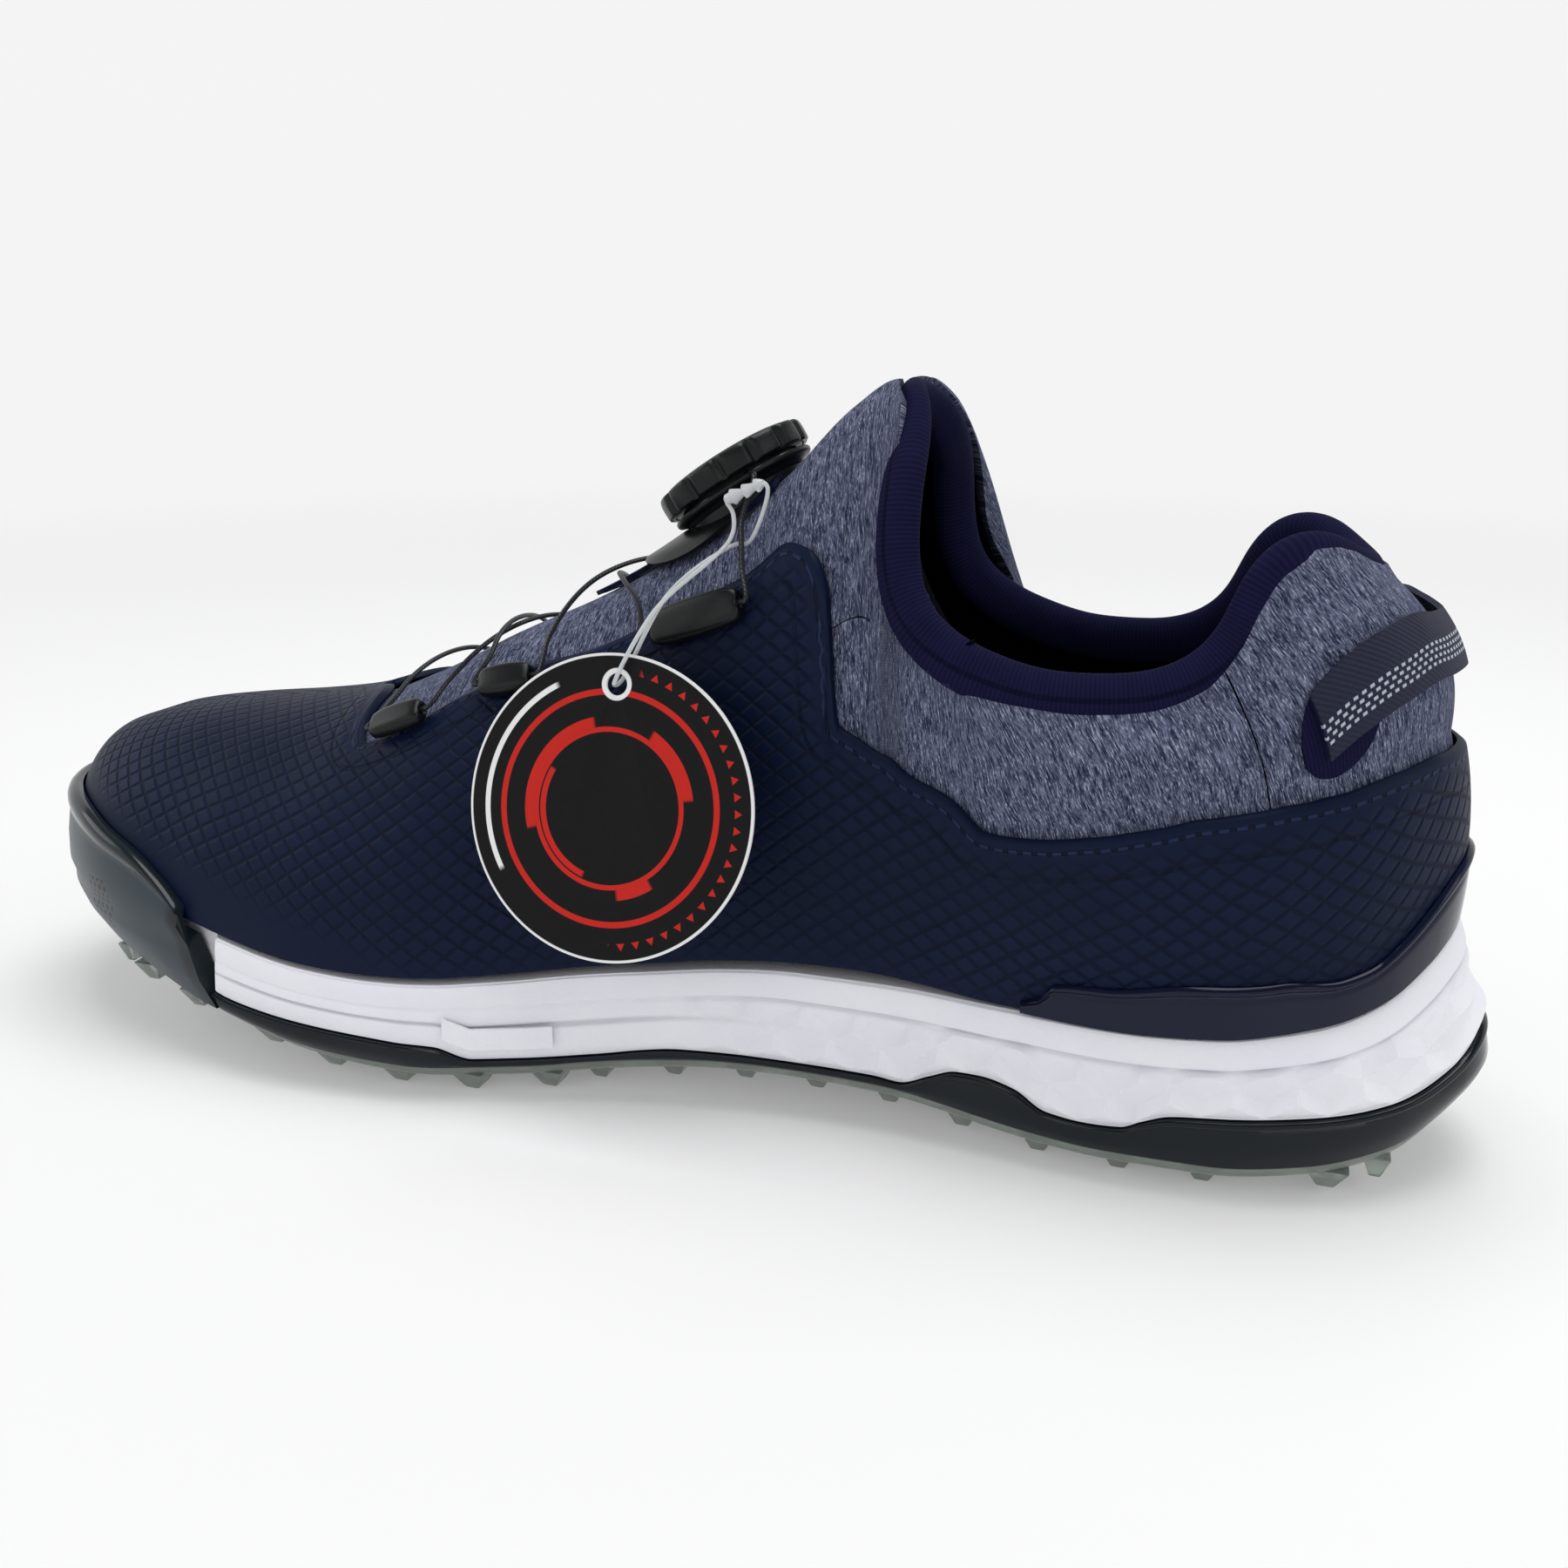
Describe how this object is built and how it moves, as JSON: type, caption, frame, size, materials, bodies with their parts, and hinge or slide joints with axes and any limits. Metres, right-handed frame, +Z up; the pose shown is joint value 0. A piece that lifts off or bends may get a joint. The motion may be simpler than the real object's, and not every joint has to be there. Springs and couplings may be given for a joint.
{
  "type": "golf shoe",
  "caption": "Spikeless golf shoe for the right foot, with a knit tongue, a lugged clear outsole, and a lace cable wound by a turning dial.",
  "frame": {"origin": "on the ground, at the middle of the shoe's length and width", "axes": "+Z up, the toe towards -Y and the heel towards +Y, the inner (medial) side towards +X"},
  "size_m": [0.104, 0.3023, 0.1375],
  "materials": {
    "clear_outsole": "clear smoky moulded outsole",
    "gloss_navy_rim": "glossy moulded rim",
    "slate_bumper": "satin moulded bumper",
    "white_foam": "fine grained moulded foam",
    "white_gloss": "smooth gloss",
    "black_nylon": "matte",
    "board_cloth": "non-woven board",
    "black_knit": "brushed knit over foam",
    "navy_microfibre": "satin coated microfibre embossed with small diamonds",
    "stiffener": "stiffened felt",
    "navy_gloss": "polished",
    "heather_knit": "streaked heather knit",
    "navy_rib_knit": "fine ribbed knit",
    "navy_webbing": "woven webbing",
    "dial_plastic": "satin moulded plastic",
    "dial_grip": "matte rubber",
    "dial_metal": "stamped",
    "dial_inner": "moulded",
    "lace_steel": "nylon-coated steel strand",
    "tag_card": "coated printed card",
    "clear_nylon": "clear"
  },
  "bodies": {
    "shoe": {"outsole_base": "clear_outsole", "outsole_rim": "gloss_navy_rim", "toe_bumper": "slate_bumper", "midsole": "white_foam", "midsole_badge": "white_gloss", "shank_plate": "black_nylon", "strobel_board": "board_cloth", "sockliner": "black_knit", "upper_shell": "navy_microfibre", "toe_puff": "stiffener", "heel_counter": "stiffener", "heel_clip": "navy_gloss", "tongue": "heather_knit", "tongue_overlay": "navy_microfibre", "collar_medial": "heather_knit", "collar_lateral": "heather_knit", "collar_heel": "heather_knit", "collar_binding": "navy_rib_knit", "lining": "black_knit", "pull_tab_patch_medial": "navy_gloss", "pull_tab_patch_lateral": "navy_gloss", "heel_pull_tab": "navy_webbing", "dial_base": "dial_plastic", "dial_housing": "dial_plastic", "dial_screw": "dial_metal", "lace_cable": "lace_steel", "tag_string": "clear_nylon", "tag_lock": "clear_nylon", "guide_medial_front": "dial_plastic", "guide_medial_mid": "dial_plastic", "guide_medial_top": "dial_plastic", "guide_lateral_front": "dial_plastic", "guide_lateral_mid": "dial_plastic", "guide_lateral_top": "dial_plastic"},
    "dial": {"dial_knob": "dial_plastic", "knob_grip": "dial_grip", "dial_pawl_disc": "dial_metal"},
    "spool": {"dial_spool": "dial_inner"},
    "tag": {"hang_tag": "tag_card"}
  },
  "joints": [
    {"name": "dial_turn", "type": "hinge", "parent": "shoe", "child": "dial", "pos_m": [0, 0.0053, 0.1203], "axis": [0, -0.5446, 0.8387], "continuous": true},
    {"name": "spool_turn", "type": "hinge", "parent": "shoe", "child": "spool", "pos_m": [0, 0.0053, 0.1203], "axis": [0, -0.5446, 0.8387], "continuous": true},
    {"name": "tag_swing", "type": "hinge", "parent": "shoe", "child": "tag", "pos_m": [0.03662, -0.0015, 0.08358], "axis": [0.9703, 0, 0.2419], "range_deg": [-45, 45]}
  ],
  "couplings": [
    {"joint": "spool_turn", "follows": "dial_turn", "ratio": 1}
  ]
}
